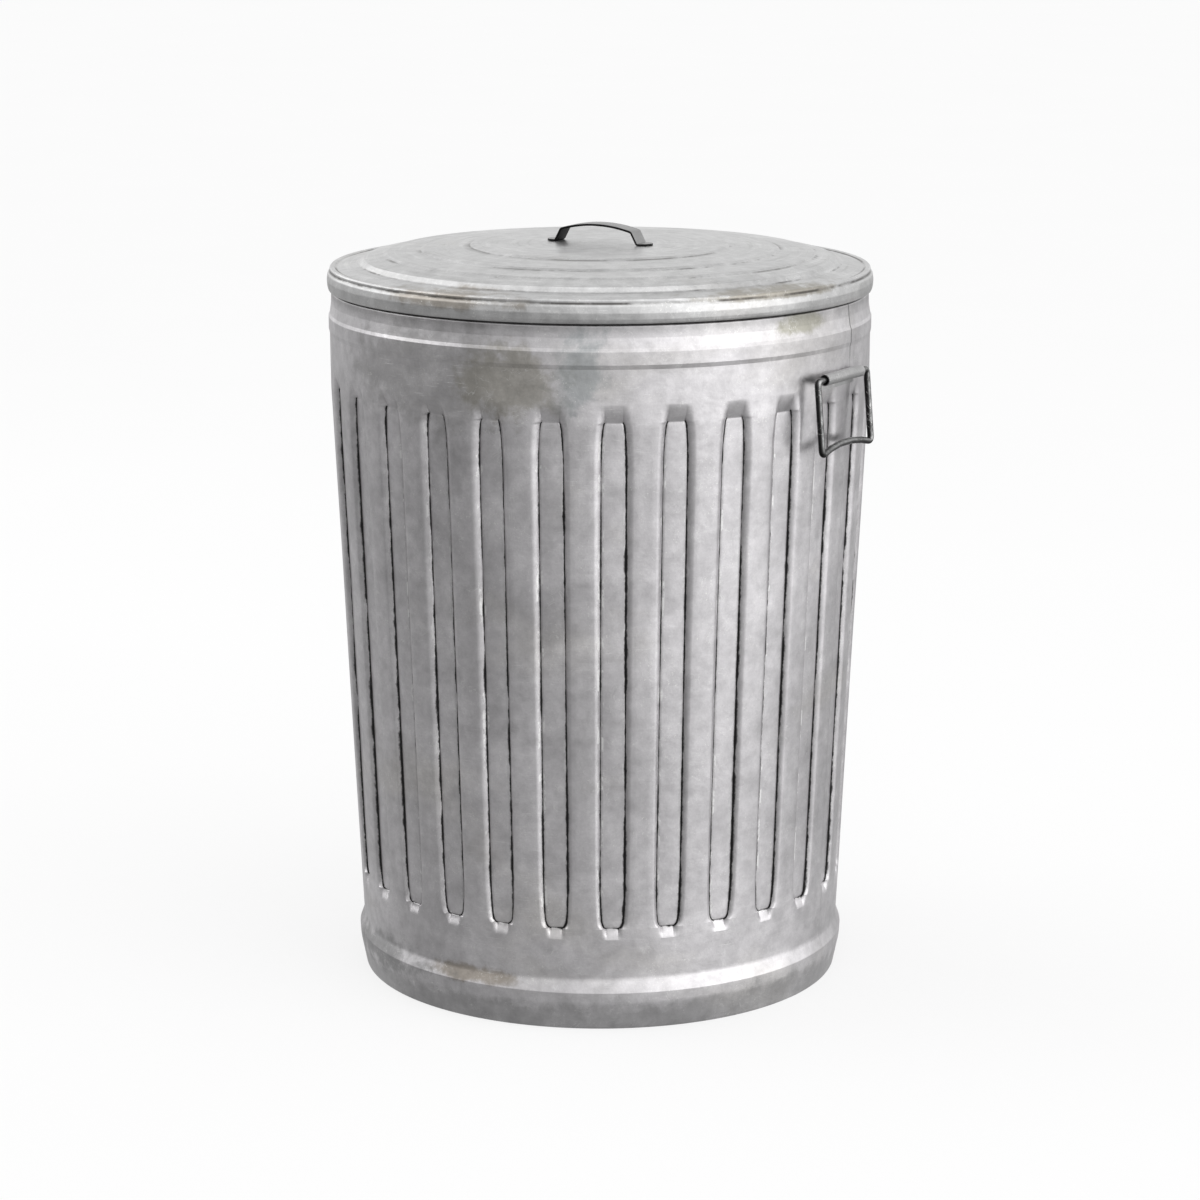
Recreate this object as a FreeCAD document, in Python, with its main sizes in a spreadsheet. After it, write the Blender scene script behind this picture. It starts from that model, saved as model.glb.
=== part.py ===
"""A galvanised refuse can: fluted sheet body, raised bottom, two drop handles and a lift-off lid.

The origin is the centre of the bottom edge, +Z is up, and the drop handles lie on the X axis.
"""
import FreeCAD, Part
import math
import os
import re
import Sketcher

os.makedirs("parts", exist_ok=True)
doc = FreeCAD.newDocument("refuse_can")
Z_AXIS = FreeCAD.Vector(0, 0, 1)

# Driving dimensions in millimetres and degrees. Heights are measured from the floor.
SIZES = {
    "sheet": 1.0,                # thickness of the body, bottom and lid sheets
    "cut_reach": 5,              # how far the body's hollow form runs out past the open ends
    # Body: base band, straight tapered wall, raised band, neck and rolled top edge.
    "foot_radius": 232.5,
    "foot_lip": 3.5,             # bottom edge turned in under the bottom pan
    "band_radius": 238.5,
    "band_low": 26,              # the base band bulges up to a sharp upper corner
    "band_low_radius": 237.9,
    "band_high": 36.5,
    "waist_radius": 234,         # where the base band has drawn in to the wall
    "waist_height": 50,
    "wall_radius": 258.4,        # where the wall stops widening
    "wall_height": 574,
    "collar_radius": 258.6,      # plain collar between the flutes and the lid
    "bead_low": 626,             # shallow band pressed outwards in the collar
    "bead_high": 645,
    "bead_rise": 1,
    "bead_slope": 4,
    "shoulder_radius": 257.2,    # the collar leans in above the bead, up to the neck
    "neck_start": 664.5,
    "neck_end": 671,
    "neck_radius": 251,
    "rim_height": 682.55,        # centre of the rolled top edge
    "rim_bore": 2.6,             # inside radius of the roll
    "rim_opening": -140,         # where the roll ends, as an angle about its own centre
    "rim_wire_radius": 2.5,
    # Flutes pressed into the wall.
    "flute_count": 28,
    "flute_phase": 9.38,         # angle of the first flute's middle from +X
    "flute_depth": 5,
    "flute_floor": 11.6,         # half width of the flute's flat floor
    "flute_floor_end": 8.6,
    "flute_shoulder": 7,         # width of each sloping side
    "flute_cutter_reach": 4,     # how far the cutting shape stands out past the wall
    "flute_run_out": 0.3,        # and how far its ends stand clear of the wall
    "flute_foot": 88.5,
    "flute_foot_floor": 98,
    "flute_foot_full": 126,
    "flute_head_full": 551,
    "flute_head_floor": 579,
    "flute_head": 591.5,
    # Bottom pan, set up inside the base band.
    "pan_height": 16,
    "pan_fit": 0.15,             # gap between the pan's flange and the band
    "pan_ring_inner": 150,
    "pan_ring_outer": 176,
    "pan_ring_rise": 3,
    "pan_ring_slope": 6,         # width of the ring's sloping sides
    # Lid: flat crown, three low steps, a flat border, a raised edge and an overhanging rim.
    "crown_height": 708.4,
    "crown_radius": 121,
    "step_width": 4,             # of the three low steps
    "step_drop": 1.9,
    "first_step_radius": 168,
    "first_step_height": 704.6,
    "second_step_radius": 203,
    "second_step_height": 701,
    "dome_edge_radius": 225.5,
    "dome_edge_height": 695.6,
    "border_radius": 230,        # foot of the dome, where the flat border begins
    "border_height": 690.8,
    "lid_ridge_height": 688.6,
    "lid_groove_radius": 258.2,
    "lid_rim_radius": 261,
    "lid_rim_low": 667,
    # Lid handle: a flat strip in a low arch.
    "lid_turn": 5.8,             # the lid sits turned by this angle from the drop handles
    "strap_width": 20,
    "strap_thickness": 2.2,
    "strap_foot_end": 55,
    "strap_foot_bend": 44,
    "strap_top_bend": 38,
    "strap_shoulder": 13.5,
    "strap_crest": 19,
    "strap_bend_radius": 2.1,
    # Drop handles: a bent wire that swings in a rolled sheet bracket.
    "pivot_radius": 264.5,       # distance of the pivot from the can's axis
    "pivot_height": 602.6,
    "wire_radius": 3.2,
    "handle_half_width": 47.2,
    "handle_drop": 67.8,
    "handle_stand_off": 5.8,     # how far the lower corners stand out from the pivot
    "grip_rise": 5.6,            # the grip bows upwards ...
    "grip_set_in": 2,            # ... and in towards the wall
    "grip_end": 0.62,            # where the bow bends, as shares of the half width
    "grip_middle": 0.22,
    "grip_end_share": 0.66,      # and the share of the bow reached there
    "grip_middle_share": 1.03,
    "grip_end_bend": 40,
    "grip_middle_bend": 50,
    "handle_corner": 4.6,
    "wire_end_gap": 0.5,
    "bracket_half_length": 34.5,
    "bracket_radius": 5.4,
    "bracket_bore": 4.2,
    "bracket_strip": 1.2,
    "bracket_drop": 11,          # the flange reaches this far below the pivot
    "bracket_seat": 258.54,      # radius of the flange's curved back
    "bracket_block": 10,         # depth of the block that the flange is cut from
}

sheet = doc.addObject("Spreadsheet::Sheet", "Sizes")
for row, (alias, value) in enumerate(SIZES.items(), start=1):
    sheet.set(f"A{row}", alias)
    sheet.set(f"B{row}", str(value))
    sheet.setAlias(f"B{row}", alias)
doc.recompute()

WORDS = re.compile(r"\b(" + "|".join(SIZES) + r")\b")


def bound(text):
    """The expression that reads the named sizes in text from the sheet."""
    return WORDS.sub(r"Sizes.\1", str(text))


def size(name):
    """One size from the sheet, as a number."""
    return float(sheet.get(name))


def number(text):
    """The value of an expression in the named sizes, worked out by the document."""
    quantity = sheet.evalExpression(bound(text).replace("Sizes.", ""))
    return float(getattr(quantity, "Value", quantity))


def plane(body, role):
    """One of the body's own origin planes or axes."""
    return next(item for item in body.Origin.OriginFeatures if item.Role == role)


def new_sketch(body, name, role="XZ_Plane", offset=None):
    """A sketch on one of the body's planes, lifted along the plane's normal by offset."""
    sketch = body.newObject("Sketcher::SketchObject", name)
    sketch.AttachmentSupport = (plane(body, role), "")
    sketch.MapMode = "FlatFace"
    if offset is not None:
        sketch.setExpression("AttachmentOffset.Base.z", bound(offset))
    return sketch


def place_point(sketch, line, across, up):
    """Hold the start of a line at (across, up), two expressions, from the sketch's origin."""
    for kind, text, axis in (("DistanceX", across, -2), ("DistanceY", up, -1)):
        value = number(text)
        if value == 0:
            sketch.addConstraint(Sketcher.Constraint("PointOnObject", line, 1, axis))
            continue
        ends = (-1, 1, line, 1) if value > 0 else (line, 1, -1, 1)
        index = sketch.addConstraint(Sketcher.Constraint(kind, *ends, abs(value)))
        sign = "" if value > 0 else "-1 * "
        sketch.setExpression(f"Constraints[{index}]", f"{sign}({bound(text)})")


def draw_outline(sketch, points):
    """A closed outline of straight edges through points, each a pair of expressions."""
    corners = [FreeCAD.Vector(number(across), number(up), 0) for across, up in points]
    first = sketch.GeometryCount
    count = len(corners)
    for index, corner in enumerate(corners):
        sketch.addGeometry(Part.LineSegment(corner, corners[(index + 1) % count]), False)
    for index in range(count):
        following = first + (index + 1) % count
        sketch.addConstraint(Sketcher.Constraint("Coincident", first + index, 2, following, 1))
    for index, (across, up) in enumerate(points):
        place_point(sketch, first + index, across, up)


def new_body(name):
    """An empty body."""
    return doc.addObject("PartDesign::Body", name)


def revolve(body, name, points):
    """Turn an outline of (radius, height) pairs once round the can's axis."""
    sketch = new_sketch(body, name + "_profile")
    draw_outline(sketch, points)
    turned = body.newObject("PartDesign::Revolution", name + "_turned")
    turned.Profile = sketch
    turned.ReferenceAxis = (sketch, ["V_Axis"])
    turned.Angle = 360
    body.Tip = turned
    doc.recompute()
    return turned


def press_flutes(body, name, skin):
    """Cut the ring of flutes from a solid whose surface lies skin inside the body's outer face.

    skin is an expression. Each flute is lofted through level sections that follow the tapered
    wall and run out into it at both ends. Inside the skin the end sections are moved along by
    shares of its thickness, so that the sheet is as thick on a flute's sloping ends as elsewhere.
    """
    slant = "(flute_shoulder / flute_depth)"
    taper = "((wall_radius - waist_radius) / (wall_height - waist_height))"
    levels = (
        ("foot", "flute_foot - 1.5 * ({0})", "flute_floor_end", "-1 * flute_run_out"),
        ("foot_floor", "flute_foot_floor - ({0})", "flute_floor_end", "flute_depth"),
        ("foot_full", "flute_foot_full", "flute_floor", "flute_depth"),
        ("head_full", "flute_head_full", "flute_floor", "flute_depth"),
        ("head_floor", "flute_head_floor + 0.5 * ({0})", "flute_floor_end", "flute_depth"),
        ("head", "flute_head + 1.5 * ({0})", "flute_floor_end", "-1 * flute_run_out"),
    )
    sections = []
    for level, height, half_floor, depth in levels:
        height = height.format(skin)
        wall = f"(min(wall_radius; waist_radius + (({height}) - waist_height) * {taper}) - ({skin}))"
        half = f"({half_floor} + 0.3 * ({skin}))"
        half_mouth = f"({half} + (({depth}) + flute_cutter_reach) * {slant})"
        sketch = new_sketch(body, f"{name}_flute_{level}", "XY_Plane", height)
        draw_outline(sketch, [
            (f"{wall} - ({depth})", f"-1 * {half}"),
            (f"{wall} + flute_cutter_reach", f"-1 * {half_mouth}"),
            (f"{wall} + flute_cutter_reach", half_mouth),
            (f"{wall} - ({depth})", half),
        ])
        sections.append(sketch)
    doc.recompute()
    before = body.Shape.Volume
    flute = body.newObject("PartDesign::SubtractiveLoft", name + "_flute")
    flute.Profile = sections[0]
    flute.Sections = sections[1:]
    flute.Ruled = True
    body.Tip = flute
    doc.recompute()
    ring = body.newObject("PartDesign::PolarPattern", name + "_flutes")
    ring.Originals = [flute]
    ring.Axis = (plane(body, "Z_Axis"), [""])
    ring.Angle = 360
    ring.setExpression("Occurrences", bound("flute_count"))
    body.Tip = ring
    doc.recompute()
    print(f"{name}: flutes take {(before - body.Shape.Volume) / 1000:.1f} cm3")


def turned_by(feature, angle):
    """Turn a feature about the can's axis by an angle given as an expression."""
    feature.Placement = FreeCAD.Placement(FreeCAD.Vector(), FreeCAD.Rotation(Z_AXIS, 0))
    feature.setExpression("Placement.Rotation.Angle", bound(angle))


# ---------------------------------------------------------------- body shell
# The sheet is the difference of two fluted solids, one a sheet's thickness inside the other.
outer_form = new_body("body_outer_form")
revolve(outer_form, "body_outer", [
    ("0", "0"),
    ("foot_radius", "0"),
    ("band_low_radius", "band_low"),
    ("band_radius", "band_high"),
    ("waist_radius", "waist_height"),
    ("wall_radius", "wall_height"),
    ("collar_radius", "bead_low"),
    ("collar_radius + bead_rise", "bead_low + bead_slope"),
    ("collar_radius + bead_rise", "bead_high - bead_slope"),
    ("collar_radius", "bead_high"),
    ("shoulder_radius", "neck_start"),
    ("neck_radius", "neck_end"),
    ("neck_radius", "rim_height"),
    ("0", "rim_height"),
])
press_flutes(outer_form, "body_outer", "0")

inner_form = new_body("body_inner_form")
revolve(inner_form, "body_inner", [
    ("0", "-1 * cut_reach"),
    ("foot_radius - foot_lip", "-1 * cut_reach"),
    ("foot_radius - foot_lip", "sheet"),
    ("foot_radius - 0.8 * sheet", "sheet"),
    ("band_low_radius - sheet", "band_low"),
    ("band_radius - sheet", "band_high - 0.2 * sheet"),
    ("waist_radius - sheet", "waist_height - 0.2 * sheet"),
    ("wall_radius - sheet", "wall_height"),
    ("collar_radius - sheet", "bead_low"),
    ("collar_radius + bead_rise - sheet", "bead_low + bead_slope"),
    ("collar_radius + bead_rise - sheet", "bead_high - bead_slope"),
    ("collar_radius - sheet", "bead_high"),
    ("shoulder_radius - sheet", "neck_start - 0.4 * sheet"),
    ("neck_radius - sheet", "neck_end - 0.4 * sheet"),
    ("neck_radius - sheet", "rim_height + cut_reach"),
    ("0", "rim_height + cut_reach"),
])
press_flutes(inner_form, "body_inner", "sheet")

wall = doc.addObject("Part::Cut", "body_wall")
wall.Base = outer_form
wall.Tool = inner_form
doc.recompute()


def rolled_edge():
    """The open roll of sheet round the rim wire, as a ring."""
    body = new_body("rim_roll")
    sketch = new_sketch(body, "rim_roll_profile")
    middle = FreeCAD.Vector(number("neck_radius + rim_bore"), size("rim_height"), 0)
    opening = math.radians(size("rim_opening"))
    radii = ("rim_bore + sheet", "rim_bore")
    ends = []
    for radius in radii:
        circle = Part.Circle(middle, Z_AXIS, number(radius))
        sketch.addGeometry(Part.ArcOfCircle(circle, opening, math.pi), False)
        ends.append([
            middle + FreeCAD.Vector(math.cos(angle), math.sin(angle), 0) * number(radius)
            for angle in (opening, math.pi)
        ])
    for end in (0, 1):
        sketch.addGeometry(Part.LineSegment(ends[0][end], ends[1][end]), False)
        sketch.addConstraint(Sketcher.Constraint("Coincident", 0, end + 1, 2 + end, 1))
        sketch.addConstraint(Sketcher.Constraint("Coincident", 1, end + 1, 2 + end, 2))
    sketch.addConstraint(Sketcher.Constraint("Coincident", 0, 3, 1, 3))
    for kind, value in (("DistanceX", "neck_radius + rim_bore"), ("DistanceY", "rim_height")):
        index = sketch.addConstraint(Sketcher.Constraint(kind, -1, 1, 0, 3, number(value)))
        sketch.setExpression(f"Constraints[{index}]", bound(value))
    for arc, radius in enumerate(radii):
        index = sketch.addConstraint(Sketcher.Constraint("Radius", arc, number(radius)))
        sketch.setExpression(f"Constraints[{index}]", bound(radius))
    sketch.addConstraint(Sketcher.Constraint("Horizontal", 3))
    turned = body.newObject("PartDesign::Revolution", "rim_roll_turned")
    turned.Profile = sketch
    turned.ReferenceAxis = (sketch, ["V_Axis"])
    turned.Angle = 360
    body.Tip = turned
    return body


body_shell = doc.addObject("Part::Fuse", "body_shell")
body_shell.Base = wall
body_shell.Tool = rolled_edge()
body_shell.Refine = False
turned_by(body_shell, "flute_phase")

rim_wire = doc.addObject("Part::Torus", "body_rim_wire")
rim_wire.setExpression("Radius1", bound("neck_radius + rim_bore"))
rim_wire.setExpression("Radius2", bound("rim_wire_radius"))
rim_wire.setExpression("Placement.Base.z", bound("rim_height"))

# ---------------------------------------------------------------- bottom pan
band_slope = "((band_low_radius - foot_radius) / band_low)"
flange_low = "(foot_radius - 0.8 * sheet - pan_fit)"
flange_top = f"({flange_low} + pan_height * {band_slope})"
bottom_pan = new_body("bottom_pan")
revolve(bottom_pan, "pan", [
    ("0", "pan_height"),
    ("pan_ring_inner", "pan_height"),
    ("pan_ring_inner + pan_ring_slope", "pan_height + pan_ring_rise"),
    ("pan_ring_outer - pan_ring_slope", "pan_height + pan_ring_rise"),
    ("pan_ring_outer", "pan_height"),
    (f"{flange_top} - sheet", "pan_height"),
    (f"{flange_low} - sheet", "sheet"),
    (flange_low, "sheet"),
    (flange_top, "pan_height + sheet"),
    ("pan_ring_outer + 0.5 * sheet", "pan_height + sheet"),
    ("pan_ring_outer - pan_ring_slope + 0.5 * sheet", "pan_height + pan_ring_rise + sheet"),
    ("pan_ring_inner + pan_ring_slope - 0.5 * sheet", "pan_height + pan_ring_rise + sheet"),
    ("pan_ring_inner - 0.5 * sheet", "pan_height + sheet"),
    ("0", "pan_height + sheet"),
])

# ---------------------------------------------------------------- lid
# The upper face from the axis outwards: radius, height, and how far the underside lies inwards
# and downwards from it, as shares of the sheet's thickness.
LID_FACE = [
    ("0", "crown_height", 0, 1),
    ("crown_radius", "crown_height", 0.4, 1),
    ("crown_radius + step_width", "crown_height - step_drop", 0.4, 1.1),
    ("first_step_radius", "first_step_height", 0.4, 1.1),
    ("first_step_radius + step_width", "first_step_height - step_drop", 0.4, 1.1),
    ("second_step_radius", "second_step_height", 0.4, 1.1),
    ("second_step_radius + step_width", "second_step_height - step_drop", 0.5, 1.1),
    ("dome_edge_radius", "dome_edge_height", 0.6, 1.2),
    ("border_radius", "border_height", 0.5, 1.2),
    ("lid_groove_radius - 5.7", "lid_ridge_height - 1.2", -0.2, 1),
    ("lid_groove_radius - 3.7", "lid_ridge_height", -0.3, 1),
    ("lid_groove_radius - 1.2", "lid_ridge_height", 0.6, 1),
    ("lid_groove_radius", "lid_ridge_height - 1.4", 1, 0.5),
    ("lid_groove_radius", "lid_ridge_height - 3.8", 1, 0.5),
    ("lid_rim_radius - 0.8", "lid_ridge_height - 6.4", 1, 0.7),
    ("lid_rim_radius", "lid_rim_low + 9.5", 1, 0.2),
    ("lid_rim_radius - 0.4", "lid_rim_low + 4", 1, -0.1),
    ("lid_rim_radius - 1", "lid_rim_low + 1.4", 1, -0.2),
    ("lid_rim_radius - 1.6", "lid_rim_low", 0.9, 0),
]
lid_panel = new_body("lid_panel")
revolve(lid_panel, "lid", [(radius, height) for radius, height, _, _ in LID_FACE] + [
    (f"{radius} - {inwards} * sheet" if inwards else radius, f"{height} - {down} * sheet")
    for radius, height, inwards, down in reversed(LID_FACE)
])


# ---------------------------------------------------------------- lid handle
def strap_side(drop):
    """Points along the strap's upper face, from one foot over the arch, lowered by drop."""
    half = [
        (size("strap_foot_end"), size("strap_thickness")),
        (size("strap_foot_bend"), size("strap_thickness")),
        (size("strap_top_bend"), size("strap_shoulder")),
    ]
    left = [FreeCAD.Vector(-across, 0, up - drop) for across, up in half]
    right = [FreeCAD.Vector(across, 0, up - drop) for across, up in reversed(half)]
    return left, right


def strap_face():
    """The strap's side view: the band between two parallel arched lines."""
    thick = size("strap_thickness")
    edges = []
    rows = []
    for drop in (0, thick):
        left, right = strap_side(drop)
        crest = FreeCAD.Vector(0, 0, size("strap_crest") - drop)
        if drop:
            squeeze = thick * 0.5
            left[1].x += squeeze
            left[2].x += squeeze
            right[0].x -= squeeze
            right[1].x -= squeeze
        edges += [Part.makeLine(left[0], left[1]), Part.makeLine(left[1], left[2])]
        edges += [Part.Arc(left[2], crest, right[0]).toShape()]
        edges += [Part.makeLine(right[0], right[1]), Part.makeLine(right[1], right[2])]
        rows.append((left[0], right[2]))
    for upper, lower in zip(*rows):
        edges.append(Part.makeLine(upper, lower))
    return Part.Face(Part.Wire(Part.__sortEdges__(edges)))


def make_strap():
    """The strap: its side view given a width, with rounded feet and softened bends."""
    width = size("strap_width")
    bend = size("strap_bend_radius")
    solid = strap_face().extrude(FreeCAD.Vector(0, width, 0))
    solid.translate(FreeCAD.Vector(0, -width / 2, 0))
    bends = [
        edge for edge in solid.Edges
        if edge.BoundBox.YLength > width / 2
        and size("strap_top_bend") - bend < abs(edge.CenterOfMass.x) < size("strap_foot_bend") + bend
    ]
    solid = solid.makeFillet(bend, bends)
    reach = size("strap_foot_end") - width / 2
    tall = 2 * size("strap_crest")
    plan = Part.makeBox(2 * reach, width, tall, FreeCAD.Vector(-reach, -width / 2, 0))
    for side in (-1, 1):
        plan = plan.fuse(Part.makeCylinder(width / 2, tall, FreeCAD.Vector(side * reach, 0, 0)))
    return solid.common(plan)


lid_handle = doc.addObject("Part::Feature", "lid_handle")
lid_handle.Shape = make_strap()
lid_handle.Placement = FreeCAD.Placement(
    FreeCAD.Vector(0, 0, size("crown_height")), FreeCAD.Rotation(Z_AXIS, size("lid_turn")))


# ---------------------------------------------------------------- drop handles
def rounded_path(points, radii):
    """Straight runs through points, joined by tangent arcs of the given radii."""
    edges = []
    start = points[0]
    for before, corner, after, radius in zip(points, points[1:], points[2:], radii):
        back = (before - corner).normalize()
        ahead = (after - corner).normalize()
        half_angle = back.getAngle(ahead) / 2
        reach = radius / math.tan(half_angle)
        bisector = (back + ahead).normalize()
        middle = corner + bisector * (radius / math.sin(half_angle) - radius)
        enter = corner + back * reach
        leave = corner + ahead * reach
        edges.append(Part.LineSegment(start, enter).toShape())
        edges.append(Part.Arc(enter, middle, leave).toShape())
        start = leave
    edges.append(Part.LineSegment(start, points[-1]).toShape())
    return Part.Wire(edges)


def handle_path():
    """The bent wire's centre line, from one end inside the bracket round to the other."""
    out = size("pivot_radius")
    up = size("pivot_height")
    half = size("handle_half_width")
    gap = size("wire_end_gap") / 2
    low_out = out + size("handle_stand_off")
    low_up = up - size("handle_drop")
    bow = FreeCAD.Vector(-size("grip_set_in"), 0, size("grip_rise"))
    low = FreeCAD.Vector(low_out, 0, low_up)
    side = FreeCAD.Vector(0, half, 0)
    turns = [(size("grip_end"), size("grip_end_share")), (size("grip_middle"), size("grip_middle_share"))]
    turns += [(-along, share) for along, share in reversed(turns)]
    grip = [low + side * along + bow * share for along, share in turns]
    points = [FreeCAD.Vector(out, gap, up), FreeCAD.Vector(out, half, up), low + side]
    points += grip
    points += [low - side, FreeCAD.Vector(out, -half, up), FreeCAD.Vector(out, -gap, up)]
    ends = [size("handle_corner")] * 2
    bends = [size("grip_end_bend"), size("grip_middle_bend")]
    return rounded_path(points, ends + bends + bends[::-1] + ends)


def make_bracket():
    """The rolled strip: a tube for the wire and a flange whose back follows the body."""
    out = size("pivot_radius")
    up = size("pivot_height")
    half = size("bracket_half_length")
    along = FreeCAD.Vector(0, 1, 0)
    end = FreeCAD.Vector(out, -half, up)
    tube = Part.makeCylinder(size("bracket_radius"), 2 * half, end, along)
    bore = Part.makeCylinder(size("bracket_bore"), 2 * half, end, along)
    block = size("bracket_block")
    drop = size("bracket_drop")
    front = out - size("bracket_bore")
    flange = Part.makeBox(block, 2 * half, drop, FreeCAD.Vector(front - block, -half, up - drop))
    strip_front = FreeCAD.Vector(size("bracket_seat") + size("bracket_strip"), -half, up - drop)
    trim = Part.makeBox(2 * block, 2 * half, drop - size("bracket_radius"), strip_front)
    body = Part.makeCylinder(size("bracket_seat"), 4 * drop, FreeCAD.Vector(0, 0, up - 2 * drop))
    return flange.cut(trim).fuse(tube).cut(bore).cut(body).removeSplitter()


bracket_shape = make_bracket()
path_shape = handle_path()
shortest = min(edge.Curve.Radius for edge in path_shape.Edges if hasattr(edge.Curve, "Radius"))
print(f"handle wire: length {path_shape.Length:.1f} mm, tightest bend {shortest:.1f} mm")


def make_handle_wire():
    """The wire swept round its centre line."""
    start = path_shape.Edges[0]
    tangent = start.tangentAt(start.FirstParameter)
    circle = Part.Circle(start.valueAt(start.FirstParameter), tangent, size("wire_radius"))
    return path_shape.makePipeShell([Part.Wire(circle.toShape())], True, False)


wire_shape = make_handle_wire()
section = math.pi * size("wire_radius") ** 2
print(f"handle wire: volume {wire_shape.Volume / (section * path_shape.Length):.4f} of section x length")

for side, angle in (("right", 0), ("left", 180)):
    turn = FreeCAD.Placement(FreeCAD.Vector(), FreeCAD.Rotation(Z_AXIS, angle))
    for name, shape in (("handle_bracket_", bracket_shape), ("handle_wire_", wire_shape)):
        piece = doc.addObject("Part::Feature", name + side)
        piece.Shape = shape
        piece.Placement = turn

# ---------------------------------------------------------------- checks and files
doc.recompute()
PIECES = [
    "body_shell", "body_rim_wire", "bottom_pan", "lid_panel", "lid_handle",
    "handle_bracket_right", "handle_bracket_left", "handle_wire_right", "handle_wire_left",
]
for item in doc.Objects:
    if {"Invalid", "Error"} & set(item.State):
        raise RuntimeError(f"{item.Name} failed: {item.State}")
for name in PIECES:
    item = doc.getObject(name)
    item.Label = name
    if item.Shape.isNull() or not item.Shape.isValid():
        raise RuntimeError(f"{name} has no valid shape")
for name in PIECES:
    shape = doc.getObject(name).Shape
    shape.exportStep(f"parts/{name}.step")
    box = shape.BoundBox
    print(f"{name}: {len(shape.Solids)} solid, {shape.Volume / 1000:.1f} cm3, "
          f"z {box.ZMin:.2f} to {box.ZMax:.2f}")
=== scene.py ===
"""Looks of the galvanised refuse can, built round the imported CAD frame."""
import math

import bpy
import numpy as np
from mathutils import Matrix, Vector


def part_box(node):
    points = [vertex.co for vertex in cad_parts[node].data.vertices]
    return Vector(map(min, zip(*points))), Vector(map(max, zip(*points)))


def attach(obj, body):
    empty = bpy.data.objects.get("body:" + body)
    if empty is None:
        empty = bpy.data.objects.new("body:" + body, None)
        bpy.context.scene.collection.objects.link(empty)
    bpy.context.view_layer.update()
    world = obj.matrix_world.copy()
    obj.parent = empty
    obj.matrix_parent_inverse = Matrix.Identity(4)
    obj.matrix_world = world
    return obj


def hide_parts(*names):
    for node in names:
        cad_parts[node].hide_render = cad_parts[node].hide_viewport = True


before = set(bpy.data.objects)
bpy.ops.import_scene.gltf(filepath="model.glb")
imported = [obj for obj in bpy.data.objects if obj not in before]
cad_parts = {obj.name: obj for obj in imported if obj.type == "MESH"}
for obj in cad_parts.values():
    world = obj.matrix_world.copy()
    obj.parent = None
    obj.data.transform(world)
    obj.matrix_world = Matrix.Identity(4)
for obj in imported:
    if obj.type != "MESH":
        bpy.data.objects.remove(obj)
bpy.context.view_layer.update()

MM = 0.001

# ---------------------------------------------------------------- sizes, in millimetres
# Read from the frame where it holds them, and otherwise the driving dimensions of the part.
BODY_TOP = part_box("body_shell")[1][2] / MM
LID_LOW, LID_HIGH = (corner[2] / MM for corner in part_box("lid_panel"))
LID_WAVE = 0.1           # how far out of round the lid's rim is
LID_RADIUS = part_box("lid_panel")[1][1] / MM - LID_WAVE
LID_MIDDLE = 0.5         # radius of the small faces that close the sheet at its middle
STRAP_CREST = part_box("lid_handle")[1][2] / MM
BRACKET_LOW, BRACKET_HIGH = (corner[2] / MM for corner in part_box("handle_bracket_right"))
BRACKET_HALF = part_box("handle_bracket_right")[1][1] / MM
BRACKET_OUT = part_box("handle_bracket_right")[1][0] / MM

SHEET = 1.0
ROLL_OUTER = 3.6         # the rolled top edge, round its wire
ROLL_INNER = 2.6
ROLL_HEIGHT = BODY_TOP - ROLL_OUTER
NECK_RADIUS = 251.0
COLLAR_RADIUS = 258.6
FOOT_LIP_RADIUS = 229.0
BODY_OUTLINE = (         # radius, height, radius of the corner
    (FOOT_LIP_RADIUS, 0.0, 0),
    (232.5, 0.0, 1.0),
    (237.9, 26.0, 40.0),           # the base band
    (238.5, 36.5, 2.4),
    (234.1, 48.5, 15.0),           # the waist above it
    (258.4, 574.0, 90.0),          # top of the taper
    (COLLAR_RADIUS, 626.0, 1.2),
    (259.6, 630.0, 1.2),           # the raised band
    (259.6, 641.8, 1.0),
    (258.4, 644.8, 1.2),
    (257.1, 654.0, 8.0),
    (256.9, 664.5, 2.5),
    (NECK_RADIUS, 671.0, 3.0),
    (NECK_RADIUS, ROLL_HEIGHT, 0),
)
COLLAR_END = 664.0       # where the outer wall turns in to the neck

FLUTES = 28
FLUTE_PHASE = math.radians(9.38)
FLUTE_DEPTH = 5.0
FLUTE_FOOT, FLOOR_FOOT = 87.8, 98.0
FLOOR_HEAD, FLUTE_HEAD = 577.0, 594.0
FLOOR_HALF = 11.6
FLOOR_HALF_END = 8.4
NARROWING = 48.0
FOOT_CORNER_ACROSS, FOOT_CORNER_UP = 3.0, 7.0
FOOT_SHALLOWER, FOOT_STEEPER = 0.72, 0.62      # depth and side width at the foot, as shares
SHOULDER = 7.4                                 # width of a flute's side, from crease to rib
CREASE_DEPTH = 0.5
CREASE_HALF = 0.9
FLOOR_CROWN = 0.07                             # how much shallower the middle of a floor is
SIDE_EASE = 1.75                               # how soon a flute's side eases into the rib
HEAD_EASE = 1.4                                # how softly a flute's head fades out

SEAM_WIDTH = 9.0
SEAM_STEP = 0.45
FAR_GAP = 30.0           # distances from a crease or fold are not kept beyond this

STRAP_WIDTH = 20.0
STRAP_THICKNESS = 2.2
STRAP_TURN = math.radians(5.8)
STRAP_EDGE = 0.7
STRAP_TOP_BEND, STRAP_FOOT_BEND, STRAP_END = 38.0, 44.0, 55.0      # distances from the middle
STRAP_ARCH_RISE = 5.5

BRACKET_RADIUS = 5.4
BRACKET_STRIP = 1.2
BRACKET_SEAT = 258.54    # radius of the wall behind the flange
BRACKET_GAP = 0.05
BRACKET_EASE = 0.25
PIVOT_HEIGHT = BRACKET_HIGH - BRACKET_RADIUS
PIVOT_RADIUS = BRACKET_OUT - BRACKET_RADIUS

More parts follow.
